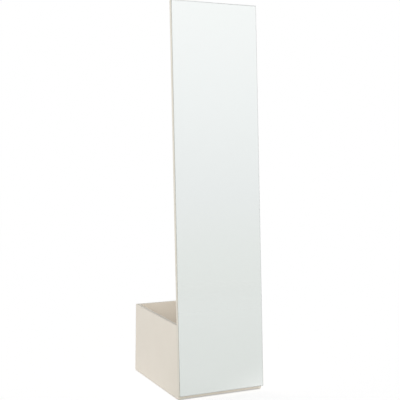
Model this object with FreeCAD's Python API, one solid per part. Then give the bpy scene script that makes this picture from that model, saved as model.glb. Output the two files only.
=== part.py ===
import FreeCAD, Part
import math
import os

# A tall frameless mirror that leans back, with an open storage box behind its foot, in millimetres.
# +Z is up and the mirror faces -Y. The origin is on the floor, under the middle of the overall footprint.

# Overall sizes
width = 400.0  # mirror and box alike
box_depth = 500.0  # from the foot of the glass to the back of the box
wall_height = 310.0  # box walls, standing on the glides
mirror_length = 1650.0  # along the slope
lean_angle = 5.0  # degrees that the mirror leans back
mirror_lift = 17.0  # from the underside of the walls up to the foot of the glass

# Boards and their edging
backing_thickness = 16.0
wall_thickness = 16.0
bottom_thickness = 16.0
edging_thickness = 1.0
edging_round = 0.8  # radius on the long outer corners of the edging

# Mirror, from the front to the backing board
glass_thickness = 5.0
glass_arris = 1.5
film_thickness = 0.3
film_margin = 2.0  # from the edge of the glass
tape_thickness = 1.0
tape_width = 19.0
tape_count = 4
tape_side_margin = 20.0  # from the edge of the glass to the outer strips
tape_end_margin = 30.0
bead_width = 10.0
bead_end_margin = 60.0

# Glued beech dowels
dowel_diameter = 8.0
dowel_length = 30.0
dowel_face_depth = 12.0  # in the face of one board, with the rest in the edge of the other
dowel_chamfer = 1.0
dowel_clearance = 0.1  # on the radius
dowel_end_room = 0.8  # glue room past each end
wall_dowel_rows = 3
wall_dowel_margin = 42.0  # from the ends of a wall to its outer dowels
bottom_side_dowels = 3
bottom_end_dowels = 2
bottom_dowel_margin = 70.0  # from the ends of the bottom's edges to the outer dowels

# Screws that hold the mirror's board to the front wall
screw_diameter = 6.0
screw_length = 25.0
screw_head_diameter = 12.0
screw_head_height = 3.5
screw_round = 1.0
socket_width = 4.0  # across the flats
socket_depth = 2.2
screw_hole_clearance = 0.3  # on the radius, in the wall and the washer
thread_clearance = 0.08  # on the radius, between screw and insert
washer_diameter = 18.0
washer_thickness = 1.6
insert_diameter = 9.0
insert_length = 12.0
insert_clearance = 0.1  # on the radius
insert_end_room = 0.5
screw_columns = 3
screw_side_margin = 50.0  # from the inner faces of the sides
screw_rows = 2
screw_end_margin = 46.0  # from the ends of the front wall

# Glides under the bottom
glide_diameter = 24.0
glide_height = 3.0
glide_round = 1.0
glide_margin = 20.0  # from the inner faces of the walls to the glide's middle
nail_diameter = 2.0
nail_head_diameter = 5.0
nail_head_height = 1.0
nail_recess_depth = 1.6
nail_recess_clearance = 0.6  # on the radius
nail_clearance = 0.1  # on the radius
nail_grip = 12.0  # length inside the bottom board
nail_end_room = 0.5

# Worked out from the sizes above, across and up from the origin
lean = math.radians(lean_angle)
half_width = width / 2
inner_half = half_width - wall_thickness
rear_y = box_depth / 2
foot_y = -box_depth / 2
underside_z = glide_height
foot_z = underside_z + mirror_lift
rim_z = underside_z + wall_height
floor_of_box_z = underside_z + bottom_thickness

# Depths behind the front of the glass
film_y = glass_thickness
tape_y = film_y + film_thickness
backing_y = tape_y + tape_thickness
front_wall_y = backing_y + backing_thickness
front_wall_back_y = front_wall_y + wall_thickness
screw_hole_diameter = screw_diameter + 2 * screw_hole_clearance
nail_hole_diameter = nail_diameter + 2 * nail_clearance


# The mirror, its board and the front wall are drawn upright in the mirror's own frame: x across, y back
# through the thickness and z up the slope, all from the foot of the glass. lean_back() puts them in place.


def lean_back(shape):
    shape.rotate(FreeCAD.Vector(0, 0, 0), FreeCAD.Vector(1, 0, 0), -lean_angle)
    shape.translate(FreeCAD.Vector(0, foot_y, foot_z))
    return shape


def raked_y(depth, z):
    """Y, at the height z, of the raked plane that lies this depth behind the front of the glass."""
    return foot_y + depth / math.cos(lean) + (z - foot_z) * math.tan(lean)


def slope_at(z, depth):
    """The distance up the slope, at this depth behind the front of the glass, where the height is z."""
    return (z - foot_z + depth * math.sin(lean)) / math.cos(lean)


def box(x0, x1, y0, y1, z0, z1):
    return Part.makeBox(x1 - x0, y1 - y0, z1 - z0, FreeCAD.Vector(x0, y0, z0))


def rod(diameter, length, start, direction):
    return Part.makeCylinder(diameter / 2, length, FreeCAD.Vector(*start), FreeCAD.Vector(*direction))


def prism(outline, x0, x1):
    """A board whose (y, z) outline runs from x0 to x1."""
    points = [FreeCAD.Vector(x0, y, z) for y, z in outline]
    face = Part.Face(Part.makePolygon(points + points[:1]))
    return face.extrude(FreeCAD.Vector(x1 - x0, 0, 0))


def spread(first, last, count):
    return [first + (last - first) * i / (count - 1) for i in range(count)]


def round_along(shape, radius, direction, outward):
    """Rounds the two straight edges that run along direction on the face that looks outward."""
    face = max(shape.Faces, key=lambda f: f.CenterOfMass.dot(outward))
    edges = [e for e in face.Edges if abs(abs(e.tangentAt(e.FirstParameter).dot(direction)) - 1) < 1e-6]
    return shape.makeFillet(radius, edges)


def export(name, shapes):
    shape = shapes[0] if len(shapes) == 1 else Part.makeCompound(shapes)
    shape.exportStep("parts/" + name + ".step")


x_axis = FreeCAD.Vector(1, 0, 0)
y_axis = FreeCAD.Vector(0, 1, 0)
z_axis = FreeCAD.Vector(0, 0, 1)


# Mirror


def mirror_glass():
    glass = box(-half_width, half_width, 0, glass_thickness, 0, mirror_length)
    faces = [f for f in glass.Faces if abs(f.normalAt(0, 0).y) > 0.5]
    edges = [e for f in faces for e in f.Edges]
    return lean_back(glass.makeChamfer(glass_arris, edges))


def safety_film():
    half = half_width - film_margin
    return lean_back(box(-half, half, film_y, tape_y, film_margin, mirror_length - film_margin))


def tape_centres():
    outer = half_width - tape_side_margin - tape_width / 2
    return spread(-outer, outer, tape_count)


def tape_strips():
    half = tape_width / 2
    low = tape_end_margin
    high = mirror_length - tape_end_margin
    return [lean_back(box(x - half, x + half, tape_y, backing_y, low, high)) for x in tape_centres()]


def adhesive_beads():
    """Flattened beads between the tape strips, with round ends."""
    centres = tape_centres()
    radius = bead_width / 2
    low = bead_end_margin + radius
    high = mirror_length - bead_end_margin - radius
    beads = []
    for left, right in zip(centres, centres[1:]):
        x = (left + right) / 2
        bead = box(x - radius, x + radius, tape_y, backing_y, low, high)
        for z in (low, high):
            bead = bead.fuse(rod(bead_width, tape_thickness, (x, tape_y, z), (0, 1, 0)))
        beads.append(lean_back(bead.removeSplitter()))
    return beads


# Screw places, shared by the board, the inserts, the front wall, the washers and the screws


def front_wall_span():
    """Where the front wall starts and ends up the slope: its lower back corner is level with the underside of
    the walls and its upper front corner with the rim."""
    return slope_at(underside_z, front_wall_back_y), slope_at(rim_z, front_wall_y)


def screw_places():
    low, high = front_wall_span()
    outer = inner_half - screw_side_margin
    rows = spread(low + screw_end_margin, high - screw_end_margin, screw_rows)
    return [(x, z) for z in rows for x in spread(-outer, outer, screw_columns)]


def backing_board():
    edge = edging_thickness
    board = box(edge - half_width, half_width - edge, backing_y, front_wall_y, edge, mirror_length - edge)
    radius = insert_diameter / 2 + insert_clearance
    depth = insert_length + insert_end_room
    for x, z in screw_places():
        board = board.cut(rod(2 * radius, depth, (x, front_wall_y, z), (0, -1, 0)))
    return lean_back(board)


def backing_side_edging(side):
    """The long edging runs the whole length, over the ends of the short ones."""
    x0, x1 = sorted((side * half_width, side * (half_width - edging_thickness)))
    strip = box(x0, x1, backing_y, front_wall_y, 0, mirror_length)
    return lean_back(round_along(strip, edging_round, z_axis, x_axis * side))


def backing_end_edging(z, outward):
    half = half_width - edging_thickness
    z0, z1 = sorted((z, z - outward * edging_thickness))
    strip = box(-half, half, backing_y, front_wall_y, z0, z1)
    return lean_back(round_along(strip, edging_round, x_axis, z_axis * outward))


# Box walls


def wall_dowel_heights():
    return spread(underside_z + wall_dowel_margin, rim_z - wall_dowel_margin, wall_dowel_rows)


def front_dowel_places():
    middle = front_wall_y + wall_thickness / 2
    return [(raked_y(middle, z), z) for z in wall_dowel_heights()]


def rear_dowel_places():
    return [(rear_y - wall_thickness / 2, z) for z in wall_dowel_heights()]


def bottom_side_dowel_places():
    z = underside_z + bottom_thickness / 2
    first = raked_y(front_wall_back_y, z) + bottom_dowel_margin
    last = rear_y - wall_thickness - bottom_dowel_margin
    return [(y, z) for y in spread(first, last, bottom_side_dowels)]


def side_dowel_places():
    return front_dowel_places() + rear_dowel_places() + bottom_side_dowel_places()


def bottom_end_dowel_columns():
    outer = inner_half - bottom_dowel_margin
    return spread(-outer, outer, bottom_end_dowels)


def dowel(start, direction):
    """A dowel across the joint at start: its long end goes along direction, its short end against it."""
    along = FreeCAD.Vector(*direction)
    along.normalize()
    base = FreeCAD.Vector(*start) - along * dowel_face_depth
    peg = Part.makeCylinder(dowel_diameter / 2, dowel_length, base, along)
    rims = [e for e in peg.Edges if isinstance(e.Curve, Part.Circle)]
    return peg.makeChamfer(dowel_chamfer, rims)


def dowel_hole(start, direction):
    """The bore that this dowel lies in, through both boards."""
    along = FreeCAD.Vector(*direction)
    along.normalize()
    base = FreeCAD.Vector(*start) - along * (dowel_face_depth + dowel_end_room)
    return Part.makeCylinder(
        dowel_diameter / 2 + dowel_clearance, dowel_length + 2 * dowel_end_room, base, along
    )


def side_dowel_axes(side, places):
    return [((side * inner_half, y, z), (-side, 0, 0)) for y, z in places]


def front_end_dowel_axes():
    """The dowels between the bottom and the front wall lie square to the wall."""
    z = underside_z + bottom_thickness / 2
    y = raked_y(front_wall_back_y, z)
    return [((x, y, z), (0, math.cos(lean), -math.sin(lean))) for x in bottom_end_dowel_columns()]


def rear_end_dowel_axes():
    z = underside_z + bottom_thickness / 2
    return [((x, rear_y - wall_thickness, z), (0, -1, 0)) for x in bottom_end_dowel_columns()]


def wall_dowel_axes():
    places = front_dowel_places() + rear_dowel_places()
    return side_dowel_axes(-1, places) + side_dowel_axes(1, places)


def bottom_dowel_axes():
    places = bottom_side_dowel_places()
    sides = side_dowel_axes(-1, places) + side_dowel_axes(1, places)
    return sides + front_end_dowel_axes() + rear_end_dowel_axes()


def bore(board, axes):
    for start, direction in axes:
        board = board.cut(dowel_hole(start, direction))
    return board


def side_span(side):
    return sorted((side * inner_half, side * half_width))


def side_panel(side):
    """The front edge of a side is cut to the slope of the mirror."""
    front = front_wall_y + edging_thickness
    back = rear_y - edging_thickness
    top = rim_z - edging_thickness
    outline = [(raked_y(front, underside_z), underside_z), (back, underside_z)]
    outline += [(back, top), (raked_y(front, top), top)]
    return bore(prism(outline, *side_span(side)), side_dowel_axes(side, side_dowel_places()))


def side_front_edging(side):
    back = front_wall_y + edging_thickness
    top = rim_z - edging_thickness
    outline = [(raked_y(front_wall_y, underside_z), underside_z), (raked_y(back, underside_z), underside_z)]
    outline += [(raked_y(back, top), top), (raked_y(front_wall_y, top), top)]
    return prism(outline, *side_span(side))


def side_top_edging(side):
    low = rim_z - edging_thickness
    outline = [(raked_y(front_wall_y, low), low), (rear_y, low)]
    outline += [(rear_y, rim_z), (raked_y(front_wall_y, rim_z), rim_z)]
    return round_along(prism(outline, *side_span(side)), edging_round, y_axis, z_axis)


def side_rear_edging(side):
    x0, x1 = side_span(side)
    strip = box(x0, x1, rear_y - edging_thickness, rear_y, underside_z, rim_z - edging_thickness)
    return round_along(strip, edging_round, z_axis, y_axis)


def rear_panel():
    top = rim_z - edging_thickness
    board = box(-inner_half, inner_half, rear_y - wall_thickness, rear_y, underside_z, top)
    sides = side_dowel_axes(-1, rear_dowel_places()) + side_dowel_axes(1, rear_dowel_places())
    return bore(board, sides + rear_end_dowel_axes())


def rear_top_edging():
    low = rim_z - edging_thickness
    strip = box(-inner_half, inner_half, rear_y - wall_thickness, rear_y, low, rim_z)
    return round_along(strip, edging_round, x_axis, z_axis)


def front_panel():
    low, high = front_wall_span()
    board = box(-inner_half, inner_half, front_wall_y, front_wall_back_y, low, high - edging_thickness)
    for x, z in screw_places():
        board = board.cut(rod(screw_hole_diameter, wall_thickness, (x, front_wall_y, z), (0, 1, 0)))
    sides = side_dowel_axes(-1, front_dowel_places()) + side_dowel_axes(1, front_dowel_places())
    return bore(lean_back(board), sides + front_end_dowel_axes())


def front_top_edging():
    high = front_wall_span()[1]
    strip = box(-inner_half, inner_half, front_wall_y, front_wall_back_y, high - edging_thickness, high)
    return lean_back(round_along(strip, edging_round, x_axis, z_axis))


def glide_places():
    front = raked_y(front_wall_back_y, underside_z) + glide_margin
    rear = rear_y - wall_thickness - glide_margin
    across = inner_half - glide_margin
    return [(x, y) for y in (front, rear) for x in (-across, across)]


def bottom_panel():
    """The front edge of the bottom is bevelled to meet the leaning front wall."""
    top = floor_of_box_z
    back = rear_y - wall_thickness
    outline = [(raked_y(front_wall_back_y, underside_z), underside_z), (back, underside_z), (back, top)]
    outline.append((raked_y(front_wall_back_y, top), top))
    board = bore(prism(outline, -inner_half, inner_half), bottom_dowel_axes())
    depth = nail_grip + nail_end_room
    for x, y in glide_places():
        board = board.cut(rod(nail_hole_diameter, depth, (x, y, underside_z), (0, 0, 1)))
    return board


# Fasteners and glides


def screw(x, z):
    """A socket screw with a low rounded head on the washer, seen from inside the box."""
    seat = front_wall_back_y + washer_thickness
    head = rod(screw_head_diameter, screw_head_height, (x, seat, z), (0, 1, 0))
    rim = max((e for e in head.Edges if isinstance(e.Curve, Part.Circle)), key=lambda e: e.CenterOfMass.y)
    head = head.makeFillet(screw_round, [rim])
    shank = rod(screw_diameter, screw_length, (x, seat, z), (0, -1, 0))
    corner = socket_width / math.sqrt(3)
    top = seat + screw_head_height
    turns = [math.radians(60 * i) for i in range(6)]
    points = [FreeCAD.Vector(x + corner * math.cos(a), top, z + corner * math.sin(a)) for a in turns]
    hexagon = Part.Face(Part.makePolygon(points + points[:1]))
    return lean_back(head.fuse(shank).cut(hexagon.extrude(y_axis * -socket_depth)))


def washer(x, z):
    disc = rod(washer_diameter, washer_thickness, (x, front_wall_back_y, z), (0, 1, 0))
    hole = rod(screw_hole_diameter, washer_thickness, (x, front_wall_back_y, z), (0, 1, 0))
    return lean_back(disc.cut(hole))


def threaded_insert(x, z):
    sleeve = rod(insert_diameter, insert_length, (x, front_wall_y, z), (0, -1, 0))
    thread = rod(screw_diameter + 2 * thread_clearance, insert_length, (x, front_wall_y, z), (0, -1, 0))
    return lean_back(sleeve.cut(thread))


def glide(x, y):
    disc = rod(glide_diameter, glide_height, (x, y, 0), (0, 0, 1))
    rim = min((e for e in disc.Edges if isinstance(e.Curve, Part.Circle)), key=lambda e: e.CenterOfMass.z)
    disc = disc.makeFillet(glide_round, [rim])
    recess = rod(nail_head_diameter + 2 * nail_recess_clearance, nail_recess_depth, (x, y, 0), (0, 0, 1))
    hole = rod(nail_hole_diameter, glide_height, (x, y, 0), (0, 0, 1))
    return disc.cut(recess).cut(hole)


def glide_nail(x, y):
    seat = nail_recess_depth
    head = rod(nail_head_diameter, nail_head_height, (x, y, seat), (0, 0, -1))
    shank = rod(nail_diameter, underside_z - seat + nail_grip, (x, y, seat), (0, 0, 1))
    return head.fuse(shank)


os.makedirs("parts", exist_ok=True)

export("mirror_glass", [mirror_glass()])
export("mirror_safety_film", [safety_film()])
export("mirror_tape_strips", tape_strips())
export("mirror_adhesive_beads", adhesive_beads())
export("backing_board", [backing_board()])
export("backing_edging_top", [backing_end_edging(mirror_length, 1)])
export("backing_edging_bottom", [backing_end_edging(0, -1)])
for name, side in (("left", -1), ("right", 1)):
    export("backing_edging_" + name, [backing_side_edging(side)])
    export(name + "_side_panel", [side_panel(side)])
    export(name + "_side_edging_front", [side_front_edging(side)])
    export(name + "_side_edging_top", [side_top_edging(side)])
    export(name + "_side_edging_rear", [side_rear_edging(side)])
export("front_panel", [front_panel()])
export("front_panel_edging_top", [front_top_edging()])
export("rear_panel", [rear_panel()])
export("rear_panel_edging_top", [rear_top_edging()])
export("bottom_panel", [bottom_panel()])
export("wall_dowels", [dowel(*axis) for axis in wall_dowel_axes()])
export("bottom_dowels", [dowel(*axis) for axis in bottom_dowel_axes()])
export("mirror_screws", [screw(*place) for place in screw_places()])
export("mirror_screw_washers", [washer(*place) for place in screw_places()])
export("mirror_threaded_inserts", [threaded_insert(*place) for place in screw_places()])
export("floor_glides", [glide(*place) for place in glide_places()])
export("glide_nails", [glide_nail(*place) for place in glide_places()])
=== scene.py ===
import bmesh
import bpy
import math
from mathutils import Matrix, Vector


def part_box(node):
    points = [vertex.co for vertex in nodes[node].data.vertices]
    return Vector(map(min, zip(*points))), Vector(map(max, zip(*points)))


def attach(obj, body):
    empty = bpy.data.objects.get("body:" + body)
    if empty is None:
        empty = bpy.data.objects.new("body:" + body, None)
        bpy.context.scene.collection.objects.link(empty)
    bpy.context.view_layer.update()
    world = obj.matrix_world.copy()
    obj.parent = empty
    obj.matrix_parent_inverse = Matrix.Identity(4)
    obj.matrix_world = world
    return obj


# A frameless floor mirror on a beige board, with an open storage box behind its foot.
# Metres, +Z up. The glass faces -Y, and the origin is on the floor under the middle of the footprint.

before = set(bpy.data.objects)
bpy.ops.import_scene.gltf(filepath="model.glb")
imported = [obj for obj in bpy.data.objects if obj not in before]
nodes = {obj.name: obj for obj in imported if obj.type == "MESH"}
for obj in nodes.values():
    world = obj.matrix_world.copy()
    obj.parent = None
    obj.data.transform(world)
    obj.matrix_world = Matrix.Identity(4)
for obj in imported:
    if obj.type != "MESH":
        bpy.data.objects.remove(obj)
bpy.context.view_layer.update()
print("frame loaded, nodes:", len(nodes))

# Camera, four metres off in front and to the left, looking a little down

camera = {
    "place": (-1.7406, -3.5451, 1.2157),
    "yaw": math.radians(26.134),  # from +Y towards +X
    "pitch": math.radians(-5.788),
    "roll": math.radians(0.983),
    "lens": 80.74,
    "sensor": 36.0,
    "farthest": 100.0,  # past the floor's far side
}


def placeCamera():
    data = bpy.data.cameras.new("camera")
    data.lens = camera["lens"]
    data.sensor_width = camera["sensor"]
    data.clip_end = camera["farthest"]
    viewer = bpy.data.objects.new("camera", data)
    viewer.matrix_world = (
        Matrix.Translation(camera["place"])
        @ Matrix.Rotation(-camera["yaw"], 4, "Z")
        @ Matrix.Rotation(math.pi / 2 + camera["pitch"], 4, "X")
        @ Matrix.Rotation(camera["roll"], 4, "Z")
    )
    bpy.context.scene.collection.objects.link(viewer)
    bpy.context.scene.camera = viewer


placeCamera()
print("camera placed")

noiseRange = (0.3, 0.7)  # most of a noise lies between these two


class Value:  # a shader socket that takes part in sums
    def __init__(self, shader, socket):
        self.shader = shader
        self.socket = socket

    def maths(self, operation, *values):
        return self.shader.node("Math", {"operation": operation}, dict(enumerate(values)))

    def __add__(self, other):
        return self.maths("ADD", self, other)

    def __sub__(self, other):
        return self.maths("SUBTRACT", self, other)

    def __rsub__(self, other):
        return self.maths("SUBTRACT", other, self)

    def __mul__(self, other):
        return self.maths("MULTIPLY", self, other)

    def __truediv__(self, other):
        return self.maths("DIVIDE", self, other)

    def __rtruediv__(self, other):
        return self.maths("DIVIDE", other, self)

    def __abs__(self):
        return self.maths("ABSOLUTE", self)

    def least(self, other):
        return self.maths("MINIMUM", self, other)

    def most(self, other):
        return self.maths("MAXIMUM", self, other)

    def fraction(self):
        return self.maths("FRACT", self)

    __radd__ = __add__
    __rmul__ = __mul__


class Shader:  # one node tree, with the few things every tree here needs
    def __init__(self, owner):
        owner.use_nodes = True
        self.tree = owner.node_tree
        self.tree.nodes.clear()

    def node(self, kind, settings=None, values=None, output=0):
        made = self.tree.nodes.new("ShaderNode" + kind)
        for name, setting in (settings or {}).items():
            if name == "stops":
                self.setStops(made.color_ramp, setting)
            else:
                setattr(made, name, setting)
        for name, value in (values or {}).items():
            if isinstance(value, Value):
                self.tree.links.new(value.socket, made.inputs[name])
            else:
                made.inputs[name].default_value = value
        return Value(self, made.outputs[output]) if made.outputs else None

    def setStops(self, ramp, stops):
        while len(ramp.elements) < len(stops):
            ramp.elements.new(1.0)
        for element, (place, colour) in zip(ramp.elements, stops):
            element.position = place
            element.color = (*colour, 1.0)

    # Object coordinates, measured from centre, in a frame that is turned and scaled there
    def place(self, centre=(0, 0, 0), turn=(0, 0, 0), size=(1, 1, 1)):
        values = {
            "Vector": self.node("TexCoord", output="Object"),
            "Location": centre,
            "Rotation": turn,
            "Scale": size,
        }
        return self.node("Mapping", {"vector_type": "TEXTURE"}, values)

    def axis(self, vector, letter):
        return self.node("SeparateXYZ", values={0: vector}, output=letter)

    def noise(self, vector, scale, detail, roughness):
        values = {"Vector": vector, "Scale": scale, "Detail": detail, "Roughness": roughness}
        return self.node("TexNoise", values=values)

    def ease(self, value, low, high, first=0.0, last=1.0):  # first up to low, last from high on
        values = {"Value": value, "From Min": low, "From Max": high, "To Min": first, "To Max": last}
        return self.node("MapRange", {"interpolation_type": "SMOOTHSTEP"}, values)

    def spread(self, noise, first=0.0, last=1.0):
        return self.ease(noise, *noiseRange, first, last)

    def mix(self, factor, first, second):  # of colours, at sockets 6 and 7 in and 2 out
        first = first if isinstance(first, Value) else (*first, 1.0)
        second = second if isinstance(second, Value) else (*second, 1.0)
        return self.node("Mix", {"data_type": "RGBA"}, {0: factor, 6: first, 7: second}, 2)

    def bump(self, height, strength, distance):
        return self.node("Bump", values={"Height": height, "Strength": strength, "Distance": distance})

    def unseen(self):  # 1 for what a reflection or a lit face sees, 0 for what is looked at directly
        return 1 - self.node("LightPath", output="Is Camera Ray")

    def principled(self, values):
        colours = {name: (*value, 1.0) for name, value in values.items() if isinstance(value, tuple)}
        return self.node("BsdfPrincipled", values=values | colours)

    def finish(self, surface):
        self.node("OutputMaterial", values={"Surface": surface})


def newShader(name):
    return Shader(bpy.data.materials.new(name))


def giveFinish(name, *nodeNames):
    for nodeName in nodeNames:
        for slot in nodes[nodeName].material_slots:
            slot.material = bpy.data.materials[name]
    print("finish:", name, "on", len(nodeNames), "nodes")


# The glass, and the silver on its back

mirror = {
    "lean": math.radians(5),
    "height": 1.65,  # along the slope
    "arris": 0.0015,  # ground along every edge, in front and behind
    "frontFace": (0.0002, 0.0004),  # how deep the polished face counts, before the ground arris
    "flatEdge": (0.0014, 0.0017),  # how deep the edge begins, behind the arris
    "clear": (0.975, 0.995, 0.985),
    "arrisColour": (0.95, 0.97, 0.945),
    "edge": (0.30, 0.385, 0.335),
    "edgeSheen": 0.5,  # light thrown back by the ground edge, rather than let in
    "edgeRough": 0.3,
    "ior": 1.52,
    "silver": (0.945, 0.95, 0.945),
    "silverThickness": 0.0001,
    "silverDepth": 0.0034,  # the back of the glass just before its arris, so the silver reaches the edges
    "silverGap": 0.0001,  # short of the glass along every edge
    "silverRough": (0.0, 0.01),
    "haze": (5.0, 4.0, 0.6),  # scale, detail and roughness, as of every noise below
}


def mirrorFoot():  # the bottom middle of the front face, worked out from the glass's box
    low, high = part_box("mirror_glass")
    front = low.y - mirror["arris"] * math.sin(mirror["lean"])
    return Vector(((low.x + high.x) / 2, front, high.z - mirror["height"] * math.cos(mirror["lean"])))


def clearGlass():
    shader = newShader("clearGlass")
    deep = shader.axis(shader.place(mirrorFoot(), (-mirror["lean"], 0, 0)), "Y")
    face = shader.ease(deep, *mirror["frontFace"], 1.0, 0.0)
    edge = shader.ease(deep, *mirror["flatEdge"])
    colour = shader.mix(face, shader.mix(edge, mirror["arrisColour"], mirror["edge"]), mirror["clear"])
    values = {
        "Base Color": colour,
        "Metallic": edge * mirror["edgeSheen"],
        "Roughness": (1 - face) * mirror["edgeRough"],
        "Transmission Weight": 1.0,
        "IOR": mirror["ior"],
    }
    shader.finish(shader.principled(values))
    giveFinish("clearGlass", "mirror_glass")


def silverSheet():
    left, right = [corner.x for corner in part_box("mirror_glass")]
    width = right - left - 2 * mirror["silverGap"]
    height = mirror["height"] - 2 * mirror["silverGap"]
    sheet = bmesh.new()
    bmesh.ops.create_cube(sheet, size=1.0)
    bmesh.ops.scale(sheet, vec=(width, mirror["silverThickness"], height), verts=sheet.verts)
    bmesh.ops.translate(sheet, vec=(0, mirror["silverDepth"], mirror["height"] / 2), verts=sheet.verts)
    tilt = Matrix.Rotation(-mirror["lean"], 3, "X")
    bmesh.ops.rotate(sheet, cent=(0, 0, 0), matrix=tilt, verts=sheet.verts)
    bmesh.ops.translate(sheet, vec=mirrorFoot(), verts=sheet.verts)
    mesh = bpy.data.meshes.new("mirror_silver")
    sheet.to_mesh(mesh)
    sheet.free()
    shader = newShader("silver")
    rough = shader.spread(shader.noise(shader.place(), *mirror["haze"]), *mirror["silverRough"])
    values = {"Base Color": mirror["silver"], "Metallic": 1.0, "Roughness": rough}
    shader.finish(shader.principled(values))
    mesh.materials.append(bpy.data.materials["silver"])
    silver = bpy.data.objects.new("mirror_silver", mesh)
    bpy.context.scene.collection.objects.link(silver)
    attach(silver, "root")
    return silver


clearGlass()
silver = silverSheet()
print("mirror silvered")

# Beige melamine on chipboard, and its edging

beige = {
    "face": (0.750, 0.693, 0.607),
    "faceDeep": (0.732, 0.673, 0.587),
    "faceRough": (0.43, 0.53),
    "faceBump": 0.06,
    "edging": (0.708, 0.667, 0.588),
    "edgingDeep": (0.691, 0.649, 0.570),
    "edgingRough": (0.40, 0.48),
    "edgingBump": 0.03,
    "edgingSpecular": 0.32,
    "mottle": (7.0, 3.0, 0.5),
    "grain": (900.0, 3.0, 0.6),
    "grainShare": 0.4,  # of the grain in the tone, the rest is mottle
    "grainDepth": 0.0002,
    "tone": (0.35, 0.65),  # where the paler colour ends and the deeper one begins
    "chipPale": (0.56, 0.43, 0.29),
    "chipDark": (0.29, 0.19, 0.115),
    "chipScale": 260.0,
    "chipRelief": 4.0,  # times the grain's
    "chipRough": 0.9,
    "rawHeight": (0.0002, 0.0004),  # how far up from its lowest face a wall board looks sawn
}
wallBoards = ["left_side_panel", "right_side_panel", "front_panel", "rear_panel"]
facedBoards = ["bottom_panel", "backing_board"]
edgings = [name for name in sorted(nodes) if "edging" in name]


def melamine(shader, finish):  # tone, roughness and grain of a fine matt decor paper
    place = shader.place()
    mottle = shader.noise(place, *beige["mottle"])
    grain = shader.noise(place, *beige["grain"])
    tone = mottle * (1 - beige["grainShare"]) + grain * beige["grainShare"]
    colour = shader.mix(shader.ease(tone, *beige["tone"]), beige[finish], beige[finish + "Deep"])
    return colour, shader.spread(grain, *beige[finish + "Rough"]), grain


def facedBoard():
    shader = newShader("beigeMelamine")
    colour, rough, grain = melamine(shader, "face")
    bump = shader.bump(grain, beige["faceBump"], beige["grainDepth"])
    shader.finish(shader.principled({"Base Color": colour, "Roughness": rough, "Normal": bump}))
    giveFinish("beigeMelamine", *facedBoards)


def wallBoard():  # raw chips show underneath, where the board is sawn
    shader = newShader("beigeMelamineSawn")
    colour, rough, grain = melamine(shader, "face")
    place = shader.place()
    up = shader.axis(place, "Z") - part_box("left_side_panel")[0].z
    raw = shader.ease(up, *beige["rawHeight"], 1.0, 0.0)
    chips = shader.node("TexVoronoi", values={"Vector": place, "Scale": beige["chipScale"]})
    height = grain * (1 - raw) + chips * raw * beige["chipRelief"]
    values = {
        "Base Color": shader.mix(raw, colour, shader.mix(chips, beige["chipPale"], beige["chipDark"])),
        "Roughness": rough.most(raw * beige["chipRough"]),
        "Normal": shader.bump(height, beige["faceBump"], beige["grainDepth"]),
    }
    shader.finish(shader.principled(values))
    giveFinish("beigeMelamineSawn", *wallBoards)


def edging():
    shader = newShader("beigeEdging")
    colour, rough, grain = melamine(shader, "edging")
    values = {
        "Base Color": colour,
        "Roughness": rough,
        "Specular IOR Level": beige["edgingSpecular"],
        "Normal": shader.bump(grain, beige["edgingBump"], beige["grainDepth"]),
    }
    shader.finish(shader.principled(values))
    giveFinish("beigeEdging", *edgings)


facedBoard()
wallBoard()
edging()

# What holds the glass on the board

film = {
    "sheet": (0.56, 0.575, 0.575),
    "thread": (0.40, 0.415, 0.42),
    "pitch": 0.006,  # of the threads woven through it, both ways
    "threadHalf": (0.06, 0.12),  # in pitches, with its soft edge
    "cloud": (60.0, 3.0, 0.5),
    "rough": (0.30, 0.42),
    "bump": 0.4,
    "depth": 0.0001,
}
foam = {
    "skin": (0.83, 0.83, 0.80),
    # the pores are painted darker than the skin, as painted shade in the foam's cells
    "poreShade": (0.62, 0.62, 0.60),
    "poreSize": (0.1, 0.5),  # in cells
    "cellScale": 1400.0,
    "rough": (0.95, 0.8),  # in a pore and on the skin
    "bump": 0.5,
    "depth": 0.0002,
}
glue = {
    "pale": (0.77, 0.765, 0.735),
    "deep": (0.68, 0.675, 0.645),
    "lumps": (140.0, 3.0, 0.5),
    "rough": (0.35, 0.5),
    "bump": 0.4,
    "depth": 0.0005,
}


def safetyFilm():
    shader = newShader("safetyFilm")
    place = shader.place(turn=(-mirror["lean"], 0, 0), size=(film["pitch"],) * 3)
    # how far off the nearest thread is, in pitches
    across, up = [abs(shader.axis(place, letter).fraction() - 0.5) for letter in "XZ"]
    woven = shader.ease(across.least(up), *film["threadHalf"], 1.0, 0.0)
    cloud = shader.noise(shader.place(), *film["cloud"])
    values = {
        "Base Color": shader.mix(woven, film["sheet"], film["thread"]),
        "Roughness": shader.spread(cloud, *film["rough"]),
        "Normal": shader.bump(woven, film["bump"], film["depth"]),
    }
    shader.finish(shader.principled(values))
    giveFinish("safetyFilm", "mirror_safety_film")


def foamTape():
    shader = newShader("foamTape")
    cells = shader.node("TexVoronoi", values={"Vector": shader.place(), "Scale": foam["cellScale"]})
    values = {
        # painted shade: darker in the pores, lighter on the cell walls
        "Base Color": shader.mix(shader.ease(cells, *foam["poreSize"]), foam["poreShade"], foam["skin"]),
        "Roughness": shader.ease(cells, *foam["poreSize"], *foam["rough"]),
        "Normal": shader.bump(cells, foam["bump"], foam["depth"]),
    }
    shader.finish(shader.principled(values))
    giveFinish("foamTape", "mirror_tape_strips")


def adhesive():
    shader = newShader("mirrorAdhesive")
    lumps = shader.noise(shader.place(), *glue["lumps"])
    values = {
        "Base Color": shader.mix(lumps, glue["pale"], glue["deep"]),
        "Roughness": shader.spread(lumps, *glue["rough"]),
        "Normal": shader.bump(lumps, glue["bump"], glue["depth"]),
    }
    shader.finish(shader.principled(values))
    giveFinish("mirrorAdhesive", "mirror_adhesive_beads")


safetyFilm()
foamTape()
adhesive()

# Dowels, screws, washers, inserts, glides and their nails

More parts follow.
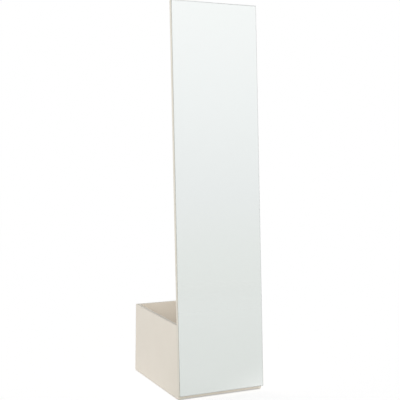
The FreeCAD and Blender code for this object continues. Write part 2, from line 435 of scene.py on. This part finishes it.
beech = {
    "wood": (0.63, 0.43, 0.26),
    "ray": (0.50, 0.32, 0.18),
    "stretch": (14, 14, 1),  # fibres lie level, as the dowels do
    "fibres": (900.0, 3.0, 0.65),
    "rough": (0.6, 0.72),
    "bump": 0.25,
    "depth": 0.0002,
}
zinc = {
    "bright": (0.70, 0.715, 0.73),
    "dull": (0.60, 0.61, 0.60),
    "patches": (45.0, 2.0, 0.5),
    "crystals": (700.0, 4.0, 0.6),
    "crystalShare": 0.5,  # of the crystals in the tone, the rest is patches
    "rough": (0.24, 0.38),
    "bump": 0.08,
    "depth": 0.0001,
}
glide = {
    "plastic": (0.82, 0.815, 0.79),
    "scuffed": (0.66, 0.65, 0.62),
    "scuffHeight": 0.0004,  # from the floor, where a glide is rubbed
    "rubs": (220.0, 4.0, 0.7),
    "texture": (1200.0, 2.0, 0.5),
    "rough": (0.42, 0.58),
    "bump": 0.1,
    "depth": 0.0001,
}
steelNodes = ["mirror_screws", "mirror_screw_washers", "mirror_threaded_inserts", "glide_nails"]


def beechDowels():
    shader = newShader("beech")
    fibres = shader.noise(shader.place(size=beech["stretch"]), *beech["fibres"])
    values = {
        "Base Color": shader.mix(shader.spread(fibres), beech["wood"], beech["ray"]),
        "Roughness": shader.spread(fibres, *beech["rough"]),
        "Normal": shader.bump(fibres, beech["bump"], beech["depth"]),
    }
    shader.finish(shader.principled(values))
    giveFinish("beech", "wall_dowels", "bottom_dowels")


def zincPlate():
    shader = newShader("zincPlate")
    crystals = shader.noise(shader.place(), *zinc["crystals"])
    patches = shader.noise(shader.place(), *zinc["patches"])
    tone = patches * (1 - zinc["crystalShare"]) + crystals * zinc["crystalShare"]
    values = {
        "Base Color": shader.mix(tone, zinc["bright"], zinc["dull"]),
        "Metallic": 1.0,
        "Roughness": shader.spread(crystals, *zinc["rough"]),
        "Normal": shader.bump(crystals, zinc["bump"], zinc["depth"]),
    }
    shader.finish(shader.principled(values))
    giveFinish("zincPlate", *steelNodes)


def glidePlastic():
    shader = newShader("glidePlastic")
    place = shader.place()
    texture = shader.noise(place, *glide["texture"])
    rubs = shader.noise(place, *glide["rubs"])
    sole = shader.ease(shader.axis(place, "Z"), 0.0, glide["scuffHeight"], 1.0, 0.0)
    values = {
        "Base Color": shader.mix(sole * rubs, glide["plastic"], glide["scuffed"]),
        "Roughness": shader.spread(rubs, *glide["rough"]),
        "Normal": shader.bump(texture, glide["bump"], glide["depth"]),
    }
    shader.finish(shader.principled(values))
    giveFinish("glidePlastic", "floor_glides")


beechDowels()
zincPlate()
glidePlastic()

# Floor, surroundings and light

floorPaper = {
    "radius": 14.0,
    "corners": 96,
    "fade": (7.0, 13.5),  # into the surroundings
    "paper": (0.5, 0.5, 0.5),
    "rough": 0.9,
    "glow": (0.77, 0.77, 0.77),  # round the box and behind it
    "glowFront": (0.552, 0.568, 0.553),  # the foreground, as the glass sees it
    "glowFar": (1.0, 1.0, 1.0),  # further off the paper only glows, so it has no grain
    "glowFrontFar": (0.806, 0.820, 0.809),
    "farAway": (1.0, 5.5),  # metres from the middle
    "turn": math.radians(-26.0),  # the foreground lies across the way the box is seen
    "foreground": (-0.41, -0.03),  # forward distance as a share of the whole, so it blends wider far off
    "foregroundSoft": 0.6,  # metres added to the whole
    "shade": 0.42,  # of the glow is left under the box
    "shadeReach": 0.004,  # out under the glass, but on the other sides only up to the walls
}


def layFloor():
    disc = bmesh.new()
    bmesh.ops.create_circle(
        disc, cap_ends=True, radius=floorPaper["radius"], segments=floorPaper["corners"]
    )
    mesh = bpy.data.meshes.new("floor")
    disc.to_mesh(mesh)
    disc.free()
    floor = bpy.data.objects.new("floor", mesh)
    bpy.context.scene.collection.objects.link(floor)
    shader = newShader("floorPaper")
    turned = shader.place(turn=(0, 0, floorPaper["turn"]))
    away = shader.node("VectorMath", {"operation": "LENGTH"}, {0: turned}, "Value")
    forward = shader.axis(turned, "Y") / (away + floorPaper["foregroundSoft"])
    front = shader.ease(forward, *floorPaper["foreground"], 1.0, 0.0) * shader.unseen()
    far = shader.ease(away, *floorPaper["farAway"])
    glowNear = shader.mix(front, floorPaper["glow"], floorPaper["glowFront"])
    glow = shader.mix(far, glowNear, shader.mix(front, floorPaper["glowFar"], floorPaper["glowFrontFar"]))
    reach = floorPaper["shadeReach"]
    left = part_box("left_side_panel")[0].x + reach
    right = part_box("right_side_panel")[1].x - reach
    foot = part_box("front_panel")[0].y
    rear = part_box("rear_panel")[1].y - reach
    place = shader.place(((left + right) / 2, (foot + rear) / 2, 0))
    besides = abs(shader.axis(place, "X")) - (right - left) / 2
    outside = besides.most(abs(shader.axis(place, "Y")) - (rear - foot) / 2)
    shade = shader.ease(outside, 0.0, reach, 1 - floorPaper["shade"], 0.0)
    values = {
        "Base Color": shader.mix(far, floorPaper["paper"], (0, 0, 0)),
        "Roughness": floorPaper["rough"],
        "Specular IOR Level": 0.0,
        "Emission Color": shader.mix(shade, glow, (0, 0, 0)),
        "Emission Strength": 1.0,
    }
    fade = shader.ease(away, *floorPaper["fade"])
    paper = shader.principled(values)
    clear = shader.node("BsdfTransparent")
    shader.finish(shader.node("MixShader", values={0: fade, 1: paper, 2: clear}))
    mesh.materials.append(bpy.data.materials["floorPaper"])


room = {
    "white": (1.0, 1.0, 1.0),
    "inFront": (-0.7, -0.1),  # how far towards +Y the front side of the room reaches
    "frontStops": [  # from straight down, 0, to straight up, 1, with the horizon at 0.5
        (0.30, (0.798, 0.814, 0.798)),
        (0.47, (0.803, 0.819, 0.802)),
        (0.50, (0.833, 0.847, 0.838)),
        (0.53, (0.869, 0.879, 0.885)),
        (0.58, (0.935, 0.945, 0.951)),
        (0.64, (1.0, 1.003, 1.008)),
    ],
    "overhead": 0.33,  # of the light is left overhead
    "overheadFrom": (0.28, 0.60),  # from here up, with 1 straight up
}
softboxes = {
    "size": 1.8,
    "aim": (0.0, 0.0, 0.3),  # the middle of the box's rim
    "each": {  # degrees round from the front towards +X, degrees up, metres away, watts
        "softboxLeft": (-38.0, 30.0, 2.6, 25.0),
        "softboxRight": (50.0, 35.0, 4.0, 75.0),
    },
}


def lightRoom():
    world = bpy.data.worlds.new("room")
    bpy.context.scene.world = world
    shader = Shader(world)
    way = shader.node("TexCoord", output="Generated")
    up = shader.axis(way, "Z")
    front = shader.ease(shader.axis(way, "Y"), *room["inFront"], 1.0, 0.0) * shader.unseen()
    level = shader.node("ValToRGB", {"stops": room["frontStops"]}, {0: up * 0.5 + 0.5})
    dim = shader.ease(up, *room["overheadFrom"], 1.0, room["overhead"])
    around = shader.mix(front, room["white"], level)
    light = shader.node("Background", values={"Color": around, "Strength": dim})
    shader.node("OutputWorld", values={"Surface": light})


def hangSoftbox(name, lit, across, up, away, power):
    data = bpy.data.lights.new(name, "AREA")
    data.shape = "SQUARE"
    data.size = softboxes["size"]
    data.energy = power
    softbox = bpy.data.objects.new(name, data)
    turn = Matrix.Rotation(math.radians(across), 3, "Z") @ Matrix.Rotation(-math.radians(up), 3, "X")
    way = turn @ Vector((0, -1, 0))
    place = Vector(softboxes["aim"]) + way * away
    softbox.matrix_world = Matrix.LocRotScale(place, (-way).to_track_quat("-Z", "Y"), None)
    softbox.visible_camera = False
    softbox.visible_glossy = False
    softbox.visible_transmission = False
    softbox.light_linking.receiver_collection = lit
    bpy.context.scene.collection.objects.link(softbox)


layFloor()
lightRoom()
litPieces = bpy.data.collections.new("litPieces")  # the floor is lit by the room alone
for piece in [silver, *nodes.values()]:
    litPieces.objects.link(piece)
for name, place in softboxes["each"].items():
    hangSoftbox(name, litPieces, *place)
bpy.context.scene.view_settings.view_transform = "Standard"  # shows the pale colours as they are set
print("floor, room and light ready")
